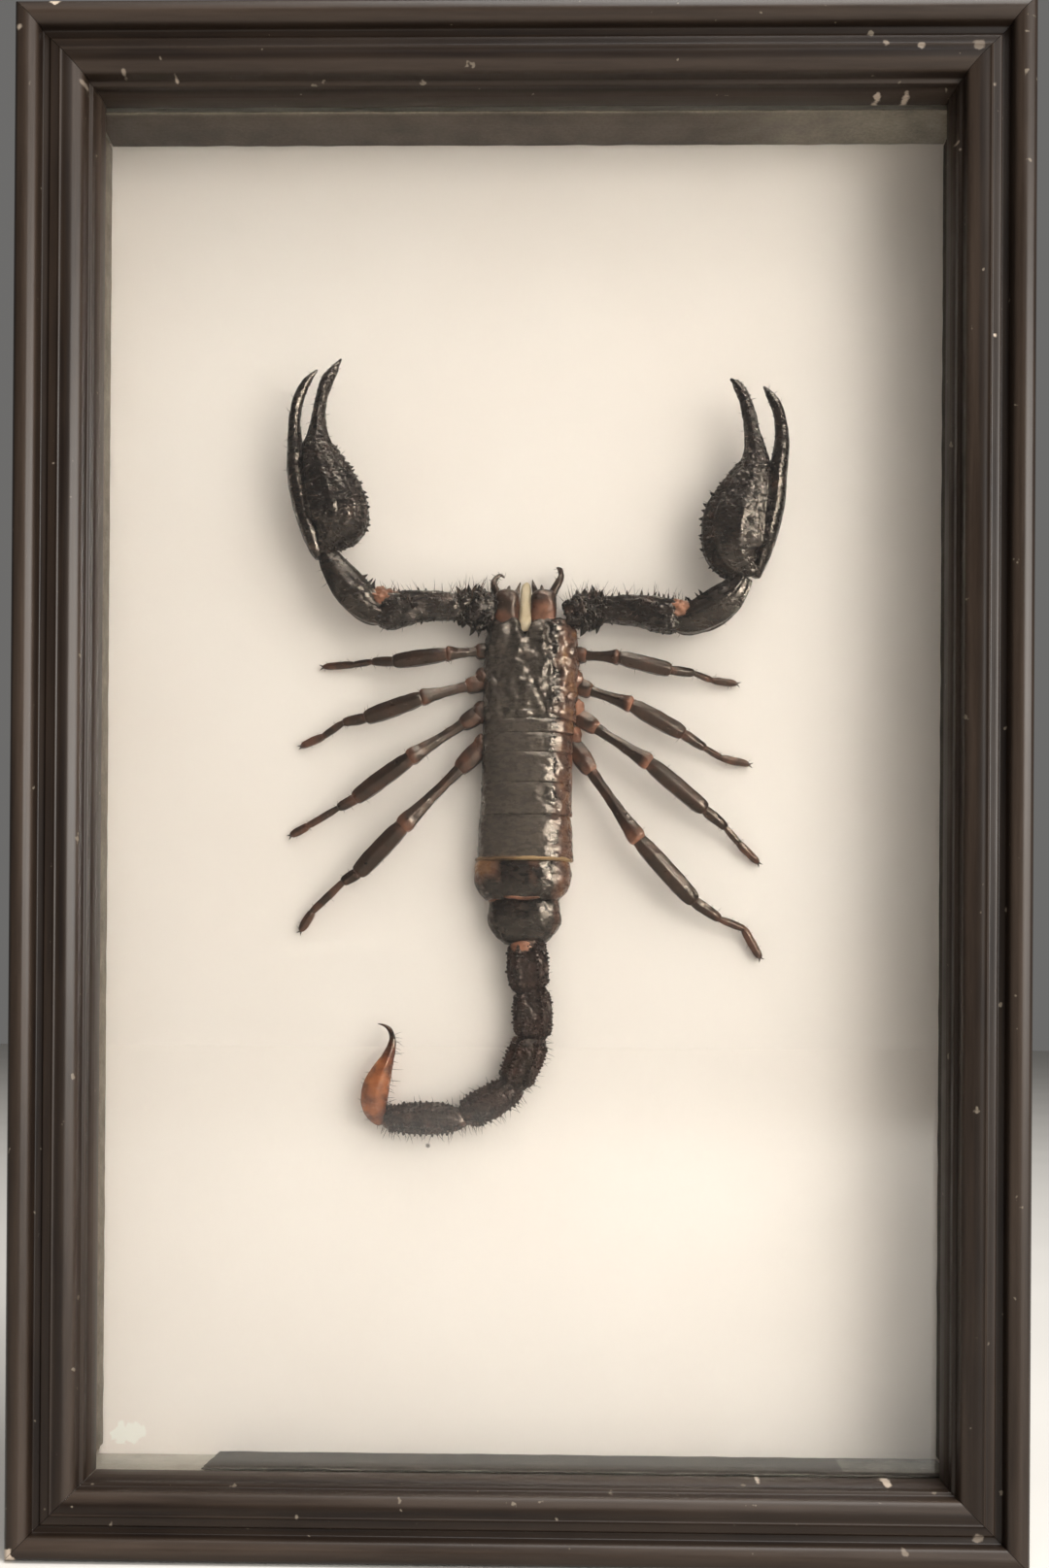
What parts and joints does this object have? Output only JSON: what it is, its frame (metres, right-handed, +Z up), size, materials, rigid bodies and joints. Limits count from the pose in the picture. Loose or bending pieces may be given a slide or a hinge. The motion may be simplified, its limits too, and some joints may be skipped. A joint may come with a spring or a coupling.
{
  "type": "framed scorpion specimen",
  "caption": "Dried scorpion laid out on a cream card behind glass, in a deep box frame of dark stepped moulding that hangs or stands on its lower edge.",
  "frame": {"origin": "middle of the flat bottom edge", "axes": "+X to the right seen from the front, +Y towards the back of the frame, +Z up along the long sides; the glass faces -Y"},
  "size_m": [0.17, 0.0342, 0.26],
  "materials": {
    "stained_wood": "dark brown stain under a thin satin varnish, rubbed pale on the ridges",
    "clear_glass": "clear, polished",
    "white_foam_board": "matt white, greyed with dust",
    "dark_lining_paper": "matt dark brown, worn and mottled",
    "cream_card": "matt cream with a fine tooth",
    "brown_hardboard": "pressed fibre board, matt",
    "zinced_steel": "thin zinc coat, dull",
    "dried_chitin": "dark, satin gloss, reddish brown in the legs and the sting"
  },
  "bodies": {
    "root": {"rail_top": "stained_wood", "rail_bottom": "stained_wood", "rail_left": "stained_wood", "rail_right": "stained_wood", "glass": "clear_glass", "spacer_top": "white_foam_board", "spacer_bottom": "white_foam_board", "spacer_left": "white_foam_board", "spacer_right": "white_foam_board", "lining_top": "dark_lining_paper", "lining_bottom": "dark_lining_paper", "lining_left": "dark_lining_paper", "lining_right": "dark_lining_paper", "mount_board": "cream_card", "back_panel": "brown_hardboard", "back_tab_1": "zinced_steel", "back_tab_2": "zinced_steel", "back_tab_3": "zinced_steel", "back_tab_4": "zinced_steel", "back_tab_5": "zinced_steel", "back_tab_6": "zinced_steel", "hanger": "zinced_steel", "hanger_nail_left": "zinced_steel", "hanger_nail_right": "zinced_steel", "scorpion": "dried_chitin"}
  },
  "joints": []
}
